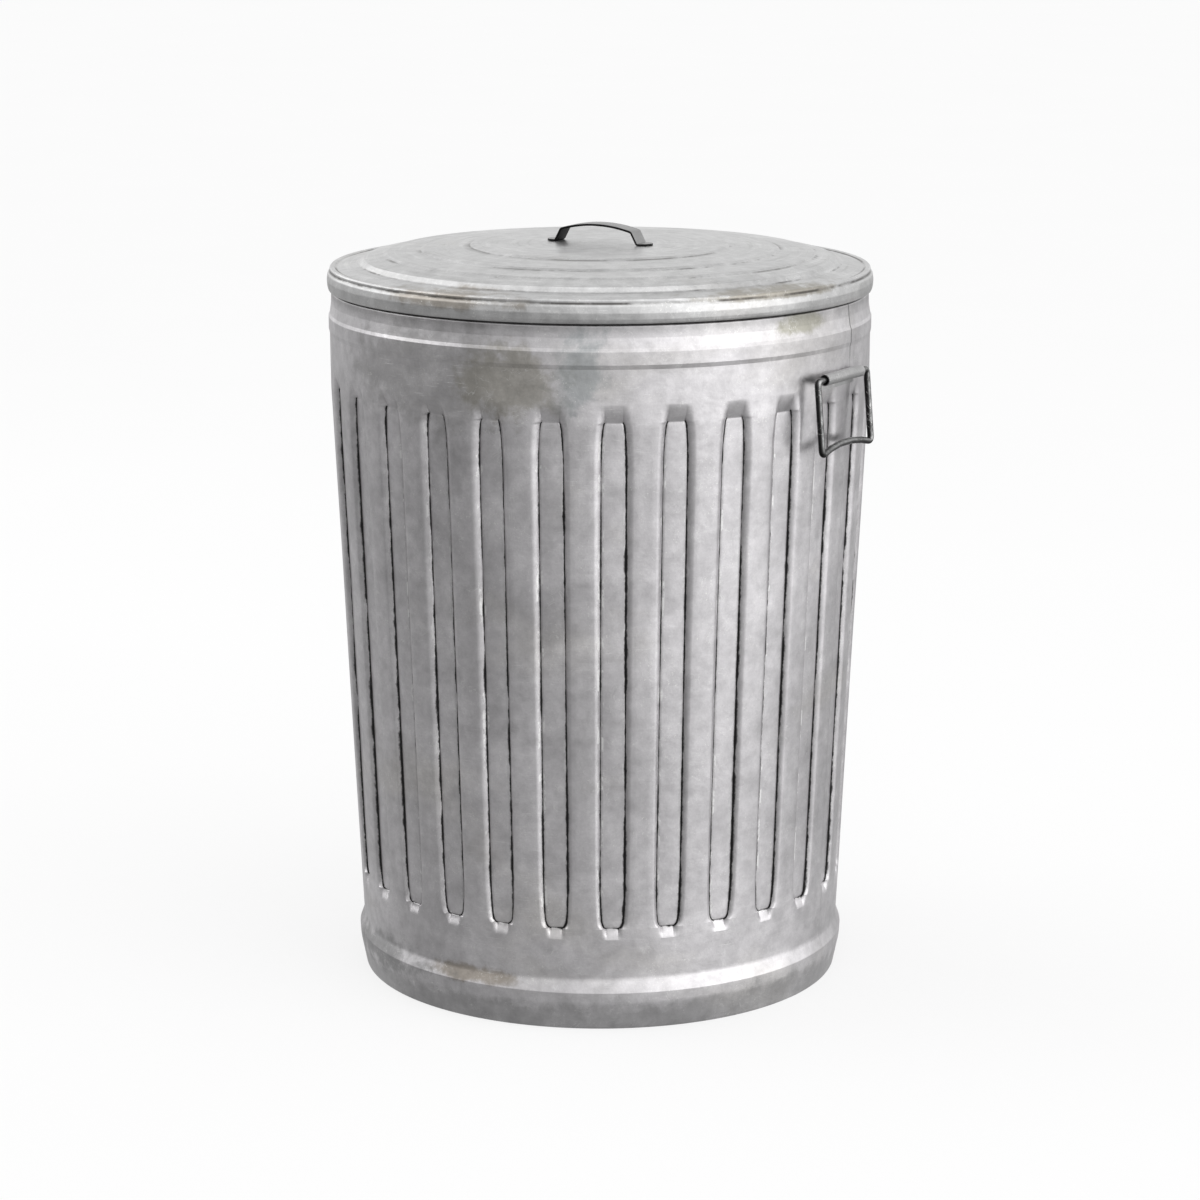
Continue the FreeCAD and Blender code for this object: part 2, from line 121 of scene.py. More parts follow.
WIRE_RADIUS = 3.2
HANDLE_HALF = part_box("handle_wire_right")[1][1] / MM - WIRE_RADIUS
HANDLE_DROP = 67.8
HANDLE_STAND_OFF = 5.8
HANDLE_CORNER = 4.6
WIRE_END = 0.25
WIRE_EASE = 0.08         # keeps the round wire inside the CAD's faceted one
GRIP_RISE, GRIP_SET_IN = 5.6, 2.0
# Bends in the grip: share of the half width, share of the bow, radius.
GRIP_BENDS = ((0.62, 0.66, 40.0), (0.22, 1.03, 50.0))

# The camera: degrees, metres, and the lens in millimetres.
VIEW_AZIMUTH = 32.3
VIEW_DISTANCE = 3.3
VIEW_HEIGHT = 1.1016
VIEW_PITCH = 12.69
VIEW_LENS = 103.82
FACING = math.radians(VIEW_AZIMUTH - 90)     # the side of the can that faces the camera

FLOOR_GLOW = 0.712
WORLD_GLOW = 0.8
BACKDROP_GLOW = 0.975
AIM_HEIGHT = 0.4         # metres, where the lamps point


# ---------------------------------------------------------------- outline helpers
def round_corners(points, steps=5):
    """A polyline through points that each end in a radius, every corner eased over its own."""
    spots = [np.array(point[:-1], float) for point in points]
    line = [spots[0]]
    for index in range(1, len(spots) - 1):
        here, radius = spots[index], points[index][-1]
        back, ahead = spots[index - 1] - here, spots[index + 1] - here
        back_length, ahead_length = np.linalg.norm(back), np.linalg.norm(ahead)
        back, ahead = back / back_length, ahead / ahead_length
        half_turn = (math.pi - math.acos(np.clip(back @ ahead, -1, 1))) / 2
        reach = min(radius * math.tan(half_turn), 0.45 * back_length, 0.45 * ahead_length)
        for step in range(steps + 1):
            share = step / steps
            line.append((1 - share) ** 2 * (here + back * reach)
                        + 2 * share * (1 - share) * here + share ** 2 * (here + ahead * reach))
    line.append(spots[-1])
    return np.array(line)


def add_stations(line, stations):
    """The polyline with extra points where it rises through the given heights."""
    rows = []
    for start, end in zip(line[:-1], line[1:]):
        rows.append(start)
        if end[1] - start[1] > 0.01:
            for height in stations:
                if start[1] + 0.2 < height < end[1] - 0.2:
                    share = (height - start[1]) / (end[1] - start[1])
                    rows.append(start + (end - start) * share)
    rows.append(line[-1])
    return np.array(rows)


def line_normals(line):
    """Unit normals on the right of a polyline's direction of travel."""
    run = np.gradient(line, axis=0)
    run /= np.maximum(np.linalg.norm(run, axis=1, keepdims=True), 1e-9)
    return np.stack([run[:, 1], -run[:, 0]], axis=1)


def arc(middle, radius, start, end, steps):
    """Points on a circle from one angle to another, in degrees."""
    angles = np.radians(np.linspace(start, end, steps))
    across, up = middle[0] + radius * np.cos(angles), middle[1] + radius * np.sin(angles)
    return np.stack([across, up], axis=1)


# ---------------------------------------------------------------- mesh helpers
def make_mesh(name, points, faces, smooth_angle=35, attributes=None):
    """A mesh object from points in millimetres, shaded smooth up to an angle."""
    mesh = bpy.data.meshes.new(name)
    mesh.from_pydata((np.asarray(points) * MM).tolist(), [], faces)
    for label, values in (attributes or {}).items():
        layer = mesh.attributes.new(label, "FLOAT", "POINT")
        layer.data.foreach_set("value", np.asarray(values, dtype=np.float32).ravel())
    mesh.validate()
    piece = bpy.data.objects.new(name, mesh)
    bpy.context.scene.collection.objects.link(piece)
    mesh.polygons.foreach_set("use_smooth", [True] * len(mesh.polygons))
    bpy.context.view_layer.objects.active = piece
    piece.select_set(True)
    bpy.ops.object.shade_smooth_by_angle(angle=math.radians(smooth_angle))
    bpy.ops.object.select_all(action="DESELECT")
    return piece


def grid_faces(rows, columns, close_rows, close_columns):
    """Quads over a grid of points that may wrap round in either direction."""
    faces = []
    for row in range(rows if close_rows else rows - 1):
        low, high = row * columns, (row + 1) % rows * columns
        for column in range(columns if close_columns else columns - 1):
            following = (column + 1) % columns
            faces.append((low + column, low + following, high + following, high + column))
    return faces


def capped_faces(rows, columns):
    """Quads over rings of points, and a face that closes the ring at each end."""
    last = (rows - 1) * columns
    caps = [list(range(columns))[::-1], list(range(last, last + columns))]
    return grid_faces(rows, columns, False, True) + caps


# ---------------------------------------------------------------- body shell
def flute_floor_half(height):
    """Half width of a flute's floor, which narrows towards both ends and is rounded at its foot."""
    from_end = np.minimum(height - FLOOR_FOOT, FLOOR_HEAD - height)
    share = np.clip(1 - from_end / NARROWING, 0, 1)
    half = FLOOR_HALF_END + (FLOOR_HALF - FLOOR_HALF_END) * np.sqrt(1 - share ** 2)
    up_corner = np.clip((height - FLOOR_FOOT) / FOOT_CORNER_UP, 0, 1)
    return half - FOOT_CORNER_ACROSS * (1 - np.sqrt(1 - (1 - up_corner) ** 2))


def flute_end_share(height):
    """How much of its depth a flute has at a height: 1 along the floor, 0 past its ends."""
    foot = np.clip((height - FLUTE_FOOT) / (FLOOR_FOOT - FLUTE_FOOT), 0, 1)
    head = np.clip((FLUTE_HEAD - height) / (FLUTE_HEAD - FLOOR_HEAD), 0, 1)
    eased_foot = 0.4 * foot + 0.6 * foot ** 2 * (3 - 2 * foot)
    return np.minimum(eased_foot, head ** HEAD_EASE)


def flute_columns(floor_half, shoulder, pitch):
    """Where the columns of one flute and the rib after it lie, with each one's share of the depth.

    The floor is slightly crowned, a fine groove runs along each crease, and the sides rise
    steeply from the crease and ease into the rib.
    """
    places, depths = [], []

    def add(place, depth):
        places.append(place)
        depths.append(depth + 0 * place)

    inner = floor_half - CREASE_HALF
    floor_shares = (-1, -0.84, -0.45, 0, 0.45, 0.84, 1)
    groove = 1 + CREASE_DEPTH / FLUTE_DEPTH
    add(-floor_half, groove)
    for share in floor_shares:
        add(inner * share, 1 - FLOOR_CROWN * (1 - share ** 2))
    add(floor_half, groove)
    rise = (0.12, 0.24, 0.4, 0.58, 0.78, 1)
    for share in rise:
        add(floor_half + share * shoulder, (1 - share) ** SIDE_EASE)
    edge = floor_half + shoulder
    for share in (0.25, 0.5, 0.75):
        add(edge + share * (pitch - 2 * edge), 0)
    for share in reversed(rise):
        add(pitch - floor_half - share * shoulder, (1 - share) ** SIDE_EASE)
    return np.stack(places, axis=1), np.stack(depths, axis=1)


def surface_ripple(angle, height):
    """The slight unevenness of hand-finished sheet, in millimetres."""
    # waves round the can, their slant, where they start, and their depth
    waves = ((3, 0.011, 0.3, 0.12), (7, 0.019, 1.9, 0.09),
             (13, 0.008, 4.1, 0.06), (5, 0.035, 2.6, 0.05))
    return sum(depth * np.sin(count * angle + slant * height + start)
               for count, slant, start, depth in waves)


def body_outline():
    """The sheet's outer face from the turned-in foot to the neck, finest at the flutes' ends."""
    line = round_corners(BODY_OUTLINE)
    fine = list(np.arange(FLUTE_FOOT - 1, FLOOR_FOOT, 1.0)) + [FLUTE_FOOT, FLOOR_FOOT]
    fine += [FLOOR_FOOT - CREASE_HALF, FLOOR_FOOT + CREASE_HALF, FLOOR_FOOT + 0.3]
    fine += list(np.arange(FLOOR_FOOT + 1.6, FLOOR_FOOT + FOOT_CORNER_UP + 1, 0.8))
    fine += list(np.arange(FLOOR_FOOT + FOOT_CORNER_UP + 2, FLOOR_FOOT + NARROWING, 3.0))
    fine += list(np.arange(FLOOR_HEAD - NARROWING, FLOOR_HEAD, 3.0))
    fine += [FLOOR_HEAD - 0.6, FLOOR_HEAD, FLUTE_HEAD]
    fine += list(np.arange(FLOOR_HEAD + 1.2, FLUTE_HEAD + 1.5, 1.3))
    coarse = list(np.arange(FLOOR_FOOT + NARROWING, FLOOR_HEAD - NARROWING, 14.0))
    coarse += list(np.arange(4, 40, 4.0)) + list(np.arange(58, 86, 6.0))
    coarse += list(np.arange(598, COLLAR_END, 7.0))
    return add_stations(line, sorted(fine + coarse))


def build_body():
    """The fluted sheet: outer face, rolled top edge and inner face as one closed skin."""
    outer = body_outline()
    inner = outer - line_normals(outer) * SHEET
    inner[:, 1] = np.maximum(inner[:, 1], SHEET)
    inner[0] = (FOOT_LIP_RADIUS, SHEET)
    inner[-1] = (NECK_RADIUS - SHEET, ROLL_HEIGHT)
    middle = (NECK_RADIUS + ROLL_INNER, ROLL_HEIGHT)
    roll = np.concatenate([arc(middle, ROLL_INNER, 172, -140, 26),
                           arc(middle, ROLL_OUTER, -140, 172, 34)])
    section = np.concatenate([outer, roll, inner[::-1]])
    fluted = np.concatenate([np.ones(len(outer)), np.zeros(len(roll)), np.ones(len(outer))])
    is_outer = np.concatenate([np.ones(len(outer)), np.zeros(len(roll) + len(outer))])[:, None]
    past_flutes = np.full(len(roll), FLUTE_HEAD + 5)
    flute_height = np.concatenate([outer[:, 1], past_flutes, outer[::-1, 1]])

    clamped = np.clip(flute_height, FLUTE_FOOT, FLUTE_HEAD)
    wall = np.interp(clamped, outer[:, 1], outer[:, 0])
    floor_half = flute_floor_half(clamped)
    end_share = flute_end_share(flute_height) * fluted
    rise = (clamped - FLUTE_FOOT) / (FLUTE_HEAD - FLUTE_FOOT)
    shoulder = SHOULDER * (FOOT_STEEPER + (1 - FOOT_STEEPER) * rise)
    pitch = 2 * math.pi / FLUTES * wall
    across, depth = flute_columns(floor_half, shoulder, pitch)
    foot_groove = np.clip(1 - np.abs(flute_height - FLOOR_FOOT) / CREASE_HALF, 0, 1)[:, None]
    on_floor = np.abs(across) < floor_half[:, None]
    depth = depth + foot_groove * on_floor * CREASE_DEPTH / FLUTE_DEPTH
    full_depth = FLUTE_DEPTH * (FOOT_SHALLOWER + (1 - FOOT_SHALLOWER) * rise)
    depth = depth * (end_share * full_depth)[:, None]

    from_middle = np.where(across > pitch[:, None] / 2, across - pitch[:, None], across)
    floor_height = np.clip(flute_height, FLOOR_FOOT, FLOOR_HEAD)[:, None]
    past_end = flute_height[:, None] - floor_height
    floor_edge = flute_floor_half(floor_height)
    side_gap = np.hypot(np.abs(from_middle) - floor_edge, past_end)
    foot_gap = 0.5 + np.hypot(np.maximum(np.abs(from_middle) - floor_edge, 0),
                              flute_height[:, None] - FLOOR_FOOT)
    crease = np.minimum(np.minimum(side_gap, foot_gap), FAR_GAP)
    side = np.sign(from_middle) * np.minimum(np.abs(from_middle) / 3, 1)

    turns = FLUTE_PHASE + np.arange(FLUTES) * 2 * math.pi / FLUTES
    angle = np.concatenate([turn + across / wall[:, None] for turn in turns], axis=1)
    depth, crease, side = (np.tile(values, (1, FLUTES)) for values in (depth, crease, side))
    height = np.repeat(section[:, 1:2], angle.shape[1], axis=1)
    on_wall = fluted[:, None] * np.clip((height - 4) / 20, 0, 1)
    on_wall = on_wall * np.clip((COLLAR_END - height) / 20, 0, 1)
    radius = section[:, 0:1] - depth + on_wall * surface_ripple(angle, height)

    seam_angle = FLUTE_PHASE - (floor_half + shoulder)[:, None] / wall[:, None]
    seam_gap = (angle - seam_angle + math.pi) % (2 * math.pi) - math.pi
    seam_gap = seam_gap * wall[:, None]
    on_lap = (seam_gap > -1e-3) & (seam_gap < SEAM_WIDTH)
    lap = np.where(on_lap, 1 - np.clip(seam_gap / SEAM_WIDTH, 0, 1) ** 3, 0) * is_outer
    lap = lap * np.clip((663 - height) / 5, 0, 1) * np.clip((height - 54) / 8, 0, 1)
    radius = radius + SEAM_STEP * lap

    points = np.stack([radius * np.cos(angle), radius * np.sin(angle), height], axis=2)
    faces = grid_faces(len(section), angle.shape[1], True, True)
    return make_mesh("body_sheet", points.reshape(-1, 3), faces, 38, {
        "crease_gap": crease, "crease_side": side, "seam_gap": np.clip(seam_gap, -40, 40),
    })


# ---------------------------------------------------------------- lid
def build_lid():
    """The stamped lid: one sheet turned through its steps, raised edge and overhanging rim."""
    top, low, rim = LID_HIGH, LID_LOW, LID_RADIUS
    feet = [(125.0, top - 1.9, 4), (172.0, top - 5.7, 4),
            (207.0, top - 9.3, 4), (230.0, top - 17.6, 4)]
    outer = round_corners([
        (LID_MIDDLE, top, 0),
        (121.0, top, 4), feet[0],
        (168.0, top - 3.8, 4), feet[1],
        (203.0, top - 7.4, 4), feet[2],
        (225.5, top - 12.8, 2.5), feet[3],
        (rim - 8.5, low + 20.4, 1.2),
        (rim - 6.5, low + 21.6, 0.9),
        (rim - 4.0, low + 21.6, 0.9),
        (rim - 2.8, low + 20.2, 0.7),
        (rim - 2.8, low + 17.8, 0.9),
        (rim - 0.8, low + 15.2, 2.5),
        (rim, low + 9.5, 7.0),
        (rim - 0.4, low + 4.0, 6.0),
        (rim - 1.0, low + 1.4, 3.0),
        (rim - 1.6, low, 0.5),
        (rim - 2.5, low, 0),
    ])
    inner = outer + line_normals(outer) * SHEET
    section = np.concatenate([outer, inner[inner[:, 1] > low + 1.0][::-1]])
    section[-1, 0] = LID_MIDDLE
    columns = 288
    angle = np.linspace(0, 2 * math.pi, columns, endpoint=False)[None, :]
    share = np.clip(section[:, 0:1] / rim, 0, 1)
    radius = section[:, 0:1] + LID_WAVE * share ** 4 * np.sin(3 * angle + 0.6)
    ripple = 0.25 * np.sin(2 * angle + 1.1) + 0.16 * np.sin(5 * angle + 0.2)
    height = section[:, 1:2] + share ** 2 * ripple * np.clip((230 - section[:, 0:1]) / 60, 0, 1)
    points = np.stack([radius * np.cos(angle), radius * np.sin(angle), height + 0 * angle], axis=2)
    groove = [(rim - 2.8, low + 17.8), (rim - 8.5, low + 20.4)]

    def nearest(spots):
        gap = np.linalg.norm(section[:, None] - np.array(spots)[None, :, :2], axis=2).min(axis=1)
        return np.repeat(np.minimum(gap, FAR_GAP), columns)

    return make_mesh("lid_sheet", points.reshape(-1, 3), capped_faces(len(section), columns), 40,
                     {"fold_gap": nearest(feet), "groove_gap": nearest(groove)})


def build_strap():
    """The lid's handle: a flat strip bent into a low arch, its feet rounded and its edges eased."""
    crest = STRAP_CREST - LID_HIGH
    arch_radius = (STRAP_TOP_BEND ** 2 + STRAP_ARCH_RISE ** 2) / (2 * STRAP_ARCH_RISE)
    reach = math.degrees(math.asin(STRAP_TOP_BEND / arch_radius))
    arch = arc((0, crest - arch_radius), arch_radius, 90 + reach, 90 - reach, 19)
    foot_middle = STRAP_END - STRAP_WIDTH / 2
    points = [(-foot_middle, STRAP_THICKNESS, 0), (-STRAP_FOOT_BEND, STRAP_THICKNESS, 5)]
    points += [(across, up, 5 if index in (0, len(arch) - 1) else 0)
               for index, (across, up) in enumerate(arch)]
    points += [(STRAP_FOOT_BEND, STRAP_THICKNESS, 5), (foot_middle, STRAP_THICKNESS, 0)]
    line = round_corners(points, 6)
    half = np.full(len(line), STRAP_WIDTH / 2)
    swing = np.radians(np.linspace(3, 89, 14))
    cap = foot_middle + STRAP_WIDTH / 2 * np.sin(swing)
    cap = np.stack([cap, np.full(len(cap), STRAP_THICKNESS)], axis=1)
    cap_half = STRAP_WIDTH / 2 * np.cos(swing)
    line = np.concatenate([(cap * (-1, 1))[::-1], line, cap])
    half = np.concatenate([cap_half[::-1], half, cap_half])
    normal = -line_normals(line)

    points, painted_shade = [], []
    for spot, lift, width in zip(line, normal, half):
        edge = min(STRAP_EDGE, 0.8 * width)
        side, top, low = width - edge, -edge, edge - STRAP_THICKNESS
        ring = np.concatenate([
            arc((side, top), edge, 90, 0, 5), arc((side, low), edge, 0, -90, 5),
            arc((-side, low), edge, -90, -180, 5), arc((-side, top), edge, 180, 90, 5),
        ])
        for across, drop in ring:
            place = spot + lift * drop
            points.append((place[0], across, place[1]))
            # Painted shade on the strip's underside and edges.
            painted_shade.append(min(max((0.15 - drop) / 0.4, 0), 1))
    points = np.array(points)
    cosine, sine = math.cos(STRAP_TURN), math.sin(STRAP_TURN)
    points[:, :2] = points[:, :2] @ np.array([[cosine, sine], [-sine, cosine]])
    points[:, 2] += LID_HIGH
    faces = capped_faces(len(line), len(points) // len(line))
    return make_mesh("lid_handle_strap", points, faces, 50, {"painted_shade": painted_shade})


# ---------------------------------------------------------------- handle brackets
def build_bracket(name, turn):
    """A strip rolled into a tube for the wire, with a flange, ragged below, on the body's wall."""
    stations = np.linspace(-BRACKET_HALF, BRACKET_HALF, 37)
    tube = BRACKET_RADIUS - BRACKET_STRIP / 2
    points, painted_shade = [], []
    for along in stations:
        seat = math.sqrt(BRACKET_SEAT ** 2 - along ** 2) + BRACKET_STRIP / 2 + BRACKET_GAP
        ragged = 0.35 * math.sin(0.21 * along + 0.5) + 0.2 * math.sin(0.57 * along)
        roll = arc((PIVOT_RADIUS, PIVOT_HEIGHT), tube, 172, -148, 34)
        flange = [(seat, BRACKET_LOW + 0.4 + ragged * 0.5, 0), (seat, PIVOT_HEIGHT - 4, 6)]
        middle = round_corners(flange + [(across, up, 0) for across, up in roll], 6)
        normal = line_normals(middle)
        ring = np.concatenate([middle - normal * BRACKET_STRIP / 2,
                               (middle + normal * BRACKET_STRIP / 2)[::-1]])
        for across, up in ring:
            points.append((across, along, up))
            from_middle = math.hypot(across - PIVOT_RADIUS, up - PIVOT_HEIGHT)
            # Painted shade inside the tube.
            painted_shade.append(float(from_middle < BRACKET_RADIUS - BRACKET_STRIP / 2))
    points = np.array(points)
    columns = len(points) // len(stations)
    points[:, :2] *= turn
    faces = grid_faces(len(stations), columns, False, True)
    half = columns // 2
    last = (len(stations) - 1) * columns
    for index in range(half - 1):
        ring = (index, index + 1, columns - 2 - index, columns - 1 - index)
        faces += [ring, tuple(last + corner for corner in reversed(ring))]
    piece = make_mesh(name, points, faces, 35, {"painted_shade": painted_shade})
    bevel = piece.modifiers.new("eased_edges", "BEVEL")
    bevel.width = BRACKET_EASE * MM
    bevel.segments = 2
    bevel.limit_method = "ANGLE"
    bevel.angle_limit = math.radians(50)
    return piece


def build_wire(name, turn):
    """The bent wire, swept round its centre line, with a bright stripe marked along one side: a
    painted highlight, partly wear from hands.
    """
    low_out, low_up = PIVOT_RADIUS + HANDLE_STAND_OFF, PIVOT_HEIGHT - HANDLE_DROP
    half = [(PIVOT_RADIUS, WIRE_END, PIVOT_HEIGHT, 0),
            (PIVOT_RADIUS, HANDLE_HALF, PIVOT_HEIGHT, HANDLE_CORNER),
            (low_out, HANDLE_HALF, low_up, HANDLE_CORNER)]
    half += [(low_out - GRIP_SET_IN * bow, HANDLE_HALF * along, low_up + GRIP_RISE * bow, bend)
             for along, bow, bend in GRIP_BENDS]
    other_half = [(out, -along, up, bend) for out, along, up, bend in reversed(half)]
    line = round_corners(half + other_half, 8)
    line = line[np.concatenate([[True], np.linalg.norm(np.diff(line, axis=0), axis=1) > 0.02])]
    run = np.gradient(line, axis=0)
    run /= np.linalg.norm(run, axis=1, keepdims=True)
    side = np.cross(run, (1.0, 0.0, 0.0))
    side /= np.linalg.norm(side, axis=1, keepdims=True)
    out = np.cross(side, run)
    angle = np.linspace(0, 2 * math.pi, 20, endpoint=False)[None, :, None]
    normal = np.cos(angle) * out[:, None] + np.sin(angle) * side[:, None]
    points = (line[:, None] + (WIRE_RADIUS - WIRE_EASE) * normal).reshape(-1, 3)
    # The side that faces this way gets the bright stripe, a painted highlight, partly wear.
    lit_side = np.array((0.86, -0.33, 0.4))
    glint_and_wear = np.clip(normal @ lit_side, 0, 1).reshape(-1) ** 8
    points[:, :2] *= turn
    return make_mesh(name, points, capped_faces(len(line), angle.shape[1]), 50, {"glint_and_wear": glint_and_wear})


# ---------------------------------------------------------------- materials
class Graph:
    """A node tree, with short calls for the nodes used here."""

    def __init__(self, tree):
        self.tree = tree

    def add(self, kind, **settings):
        """A new node with the given settings."""
        node = self.tree.nodes.new(kind)
        for key, value in settings.items():
            setattr(node, key, value)
        return node

    def link(self, source, target):
        """Feed an input from another node's output, or give it a plain value."""
        if isinstance(source, (int, float, tuple)):
            target.default_value = source
        else:
            self.tree.links.new(source, target)

    def math(self, operation, *values):
        """The result of one sum on values or outputs."""
        node = self.add("ShaderNodeMath", operation=operation)
        for value, target in zip(values, node.inputs):
            self.link(value, target)
        return node.outputs["Value"]

    def product(self, *values):
        """All the values multiplied together."""
        result = values[0]
        for value in values[1:]:
            result = self.math("MULTIPLY", result, value)
        return result

    def remap(self, value, low, high, to_low, to_high, smooth=False):
        """A value's range low to high turned into another range, and held at its ends."""
        kind = "SMOOTHSTEP" if smooth else "LINEAR"
        node = self.add("ShaderNodeMapRange", interpolation_type=kind)
        for source, label in ((value, "Value"), (low, "From Min"), (high, "From Max"),
                              (to_low, "To Min"), (to_high, "To Max")):
            self.link(source, node.inputs[label])
        return node.outputs["Result"]

    def bell(self, value, width):
        """1 where value is 0, falling away over width."""
        scaled = self.math("DIVIDE", value, width)
        return self.math("EXPONENT", self.product(self.math("MULTIPLY", scaled, scaled), -0.5))

    def separate(self, vector):
        """The three parts of a vector."""
        node = self.add("ShaderNodeSeparateXYZ")
        self.link(vector, node.inputs["Vector"])
        return [node.outputs[axis] for axis in "XYZ"]

    def angle_from(self, across, along, centre):
        """The angle about Z between a direction and centre, from -pi to pi."""
        angle = self.math("ARCTAN2", along, across)
        return self.math("WRAP", self.math("SUBTRACT", angle, centre), math.pi, -math.pi)


class Surface(Graph):
    """A material's node tree, drawn in the object's own coordinates."""

    def __init__(self, name):
        self.material = bpy.data.materials.new(name)
        self.material.use_nodes = True
        super().__init__(self.material.node_tree)
        self.shader = self.tree.nodes["Principled BSDF"]
        self.coordinates = self.add("ShaderNodeTexCoord").outputs["Object"]

    def stretched(self, scale, turn=(0, 0, 0)):
        """The object's coordinates, scaled and turned."""
        node = self.add("ShaderNodeMapping")
        node.inputs["Scale"].default_value = scale
        node.inputs["Rotation"].default_value = turn
        self.link(self.coordinates, node.inputs["Vector"])
        return node.outputs["Vector"]

    def noise(self, scale, detail=4, rough=0.55, vector=None, distortion=0.0):
        """Cloudy noise, mostly between 0.3 and 0.7."""
        node = self.add("ShaderNodeTexNoise")
        self.link(self.coordinates if vector is None else vector, node.inputs["Vector"])
        node.inputs["Scale"].default_value = scale
        node.inputs["Detail"].default_value = detail
        node.inputs["Roughness"].default_value = rough
        node.inputs["Distortion"].default_value = distortion
        return node.outputs["Fac"]

    def cells(self, scale):
        """A grey for each cell of a cracked pattern, like the spangle of zinc."""
        node = self.add("ShaderNodeTexVoronoi")
        self.link(self.coordinates, node.inputs["Vector"])
        node.inputs["Scale"].default_value = scale
        split = self.add("ShaderNodeSeparateColor")
        self.link(node.outputs["Color"], split.inputs["Color"])
        return split.outputs["Red"]

    def mix(self, share, first, second):
        """The first colour at a share of 0, the second at 1."""
        node = self.add("ShaderNodeMix", data_type="RGBA")
        self.link(share, node.inputs["Factor"])
        self.link(first, node.inputs[6])
        self.link(second, node.inputs[7])
        return node.outputs[2]

    def tinted(self, value, colour):
        """A colour made lighter or darker by a value."""
        node = self.add("ShaderNodeMix", data_type="RGBA", blend_type="MULTIPLY")
        node.inputs["Factor"].default_value = 1.0
        grey = self.add("ShaderNodeCombineColor")
        for channel in ("Red", "Green", "Blue"):
            self.link(value, grey.inputs[channel])
        self.link(grey.outputs["Color"], node.inputs[6])
        self.link(colour, node.inputs[7])
        return node.outputs[2]

    def attribute(self, name):
        """A value that the mesh carries at its points."""
        return self.add("ShaderNodeAttribute", attribute_name=name).outputs["Fac"]

    def bump(self, height, distance, strength=1.0):
        """Fine relief for the shader, with its depth in metres."""
        node = self.add("ShaderNodeBump")
        node.inputs["Strength"].default_value = strength
        node.inputs["Distance"].default_value = distance
        self.link(height, node.inputs["Height"])
        self.link(node.outputs["Normal"], self.shader.inputs["Normal"])

    def patch_mask(self, angle, height, half_angle, half_height, ragged):
        """Where a listed patch (discolouring and painted shade alike) lies on the can: 1 in its
        middle, fading out along a ragged edge.
        """
        across, along, up = self.separate(self.coordinates)
        turn = self.math("DIVIDE", self.angle_from(across, along, angle), half_angle)
        rise = self.math("DIVIDE", self.math("SUBTRACT", up, height), half_height)
        apart = self.math("ADD", self.product(turn, turn), self.product(rise, rise))
        apart = self.math("SQRT", apart)
        return self.remap(self.math("ADD", apart, ragged), 0.55, 1.3, 1, 0, True)


# Stains, and patches of painted shade: angle from the camera's side and height of the middle,
# half sizes, colour and strength.
# Angles are in degrees and heights in metres. A half angle of 400 makes a ring.
BODY_STAINS_AND_SHADE = (
    # Painted shade: a grey patch that darkens the upper wall on the left.
    (-38, 0.612, 22, 0.045, (0.36, 0.355, 0.345), 0.3),
    (-17, 0.612, 10, 0.032, (0.40, 0.375, 0.30), 0.5),
    (-4, 0.620, 6, 0.034, (0.42, 0.46, 0.47), 0.55),
    (-30, 0.044, 11, 0.008, (0.33, 0.285, 0.23), 0.75),
    # Painted shade: darkens the base band's highlight at the far left.
    (-66, 0.036, 22, 0.016, (0.30, 0.30, 0.30), 0.65),
    # Painted shade: a grey ring that darkens the foot all round.
    (0, 0.006, 400, 0.020, (0.42, 0.42, 0.42), 0.45),
    (45, 0.657, 7, 0.010, (0.36, 0.35, 0.27), 0.7),
    (150, 0.560, 22, 0.060, (0.33, 0.31, 0.27), 0.5),
    (-120, 0.330, 16, 0.110, (0.4, 0.39, 0.37), 0.4),
)
LID_STAINS = (
    (-33, 0.683, 13, 0.008, (0.34, 0.30, 0.25), 0.7),
    (38, 0.686, 20, 0.004, (0.33, 0.30, 0.24), 0.7),
    (160, 0.680, 30, 0.009, (0.33, 0.30, 0.26), 0.5),
)


